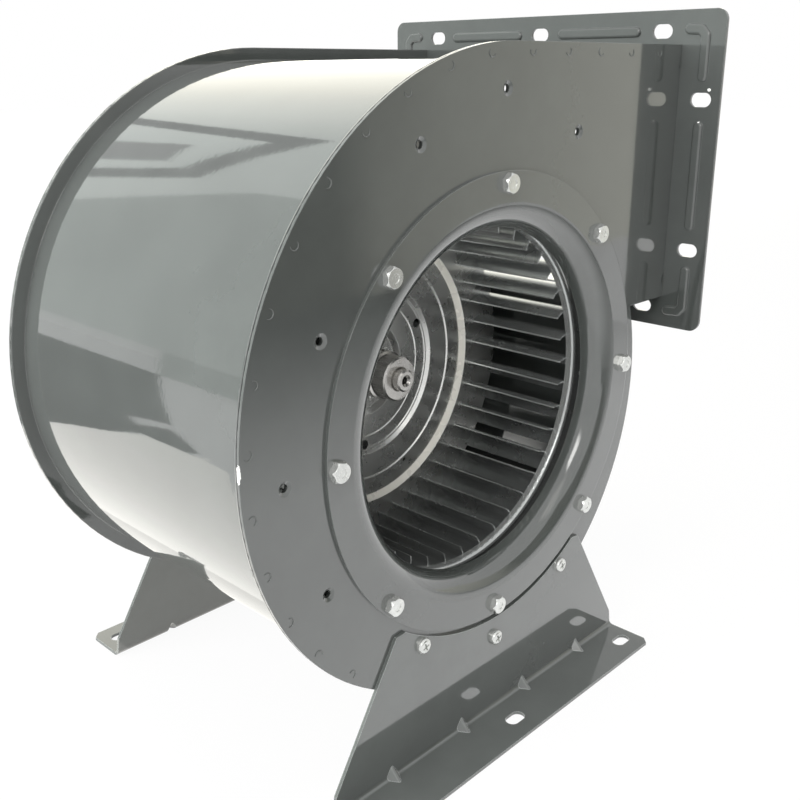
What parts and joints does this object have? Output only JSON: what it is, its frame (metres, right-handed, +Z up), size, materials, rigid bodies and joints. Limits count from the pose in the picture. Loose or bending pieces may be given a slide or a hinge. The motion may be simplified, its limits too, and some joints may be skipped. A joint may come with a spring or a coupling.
{
  "type": "centrifugal fan",
  "caption": "Double-inlet centrifugal fan with a pressed steel scroll, forward-curved wheel, flanged rectangular outlet, angle feet and a motor held in the rear inlet.",
  "frame": {"origin": "centre of the bounding box's bottom, on the floor plane that both feet stand on", "axes": "+X the way the air leaves the outlet, +Y into the front inlet along the wheel's axis, +Z up"},
  "size_m": [0.3558, 0.3134, 0.4156],
  "materials": {
    "casing_paint": "glossy dark grey enamel on pressed sheet",
    "zinc_fasteners": "bright zinc plated",
    "galvanised_wheel": "bright galvanised sheet",
    "turned_steel": "turned, oiled",
    "bearing_steel": "ground",
    "motor_paint": "semi-gloss black",
    "cast_aluminium": "die cast, blasted",
    "lamination_steel": "stacked laminations",
    "winding_copper": "enamelled copper wire, varnished",
    "box_plastic": "fine grain",
    "block_plastic": "smooth",
    "gland_plastic": "smooth",
    "zinc_cradle": "semi-gloss black"
  },
  "bodies": {
    "casing": {"front_side_plate": "casing_paint", "rear_side_plate": "casing_paint", "scroll_wrap": "casing_paint", "front_inlet_ring": "casing_paint", "rear_inlet_ring": "casing_paint", "outlet_flange": "casing_paint", "front_foot": "casing_paint", "rear_foot": "casing_paint", "front_ring_bolts": "zinc_fasteners", "rear_ring_bolts": "zinc_fasteners", "front_ring_nuts": "zinc_fasteners", "rear_ring_nuts": "zinc_fasteners", "front_foot_screws": "zinc_fasteners", "rear_foot_screws": "zinc_fasteners", "bearing_outer_rings": "bearing_steel", "motor_shell": "motor_paint", "motor_front_bell": "cast_aluminium", "motor_rear_bell": "cast_aluminium", "stator_core": "lamination_steel", "stator_windings": "winding_copper", "motor_tie_bolts": "zinc_fasteners", "motor_tie_nuts": "zinc_fasteners", "motor_cradle": "zinc_cradle", "cradle_clamp_bolt": "zinc_fasteners", "cradle_clamp_nut": "zinc_fasteners", "terminal_box": "box_plastic", "terminal_box_lid": "box_plastic", "terminal_box_screws": "zinc_fasteners", "terminal_lid_screws": "zinc_fasteners", "terminal_block": "block_plastic", "terminal_block_screws": "zinc_fasteners", "gland_body": "gland_plastic", "gland_cap": "gland_plastic", "gland_lock_nut": "gland_plastic"},
    "wheel": {"wheel_centre_disc": "galvanised_wheel", "front_wheel_blades": "galvanised_wheel", "rear_wheel_blades": "galvanised_wheel", "front_wheel_rim": "galvanised_wheel", "rear_wheel_rim": "galvanised_wheel", "wheel_hub": "turned_steel", "hub_rivets": "zinc_fasteners", "hub_set_screw": "turned_steel", "motor_shaft": "turned_steel", "rotor_core": "lamination_steel", "rotor_end_rings": "cast_aluminium", "bearing_inner_rings": "bearing_steel", "bearing_balls": "bearing_steel"}
  },
  "joints": [
    {"name": "wheel_spin", "type": "hinge", "parent": "casing", "child": "wheel", "pos_m": [0.00292, -0.01275, 0.2], "axis": [0, 1, 0], "continuous": true}
  ]
}
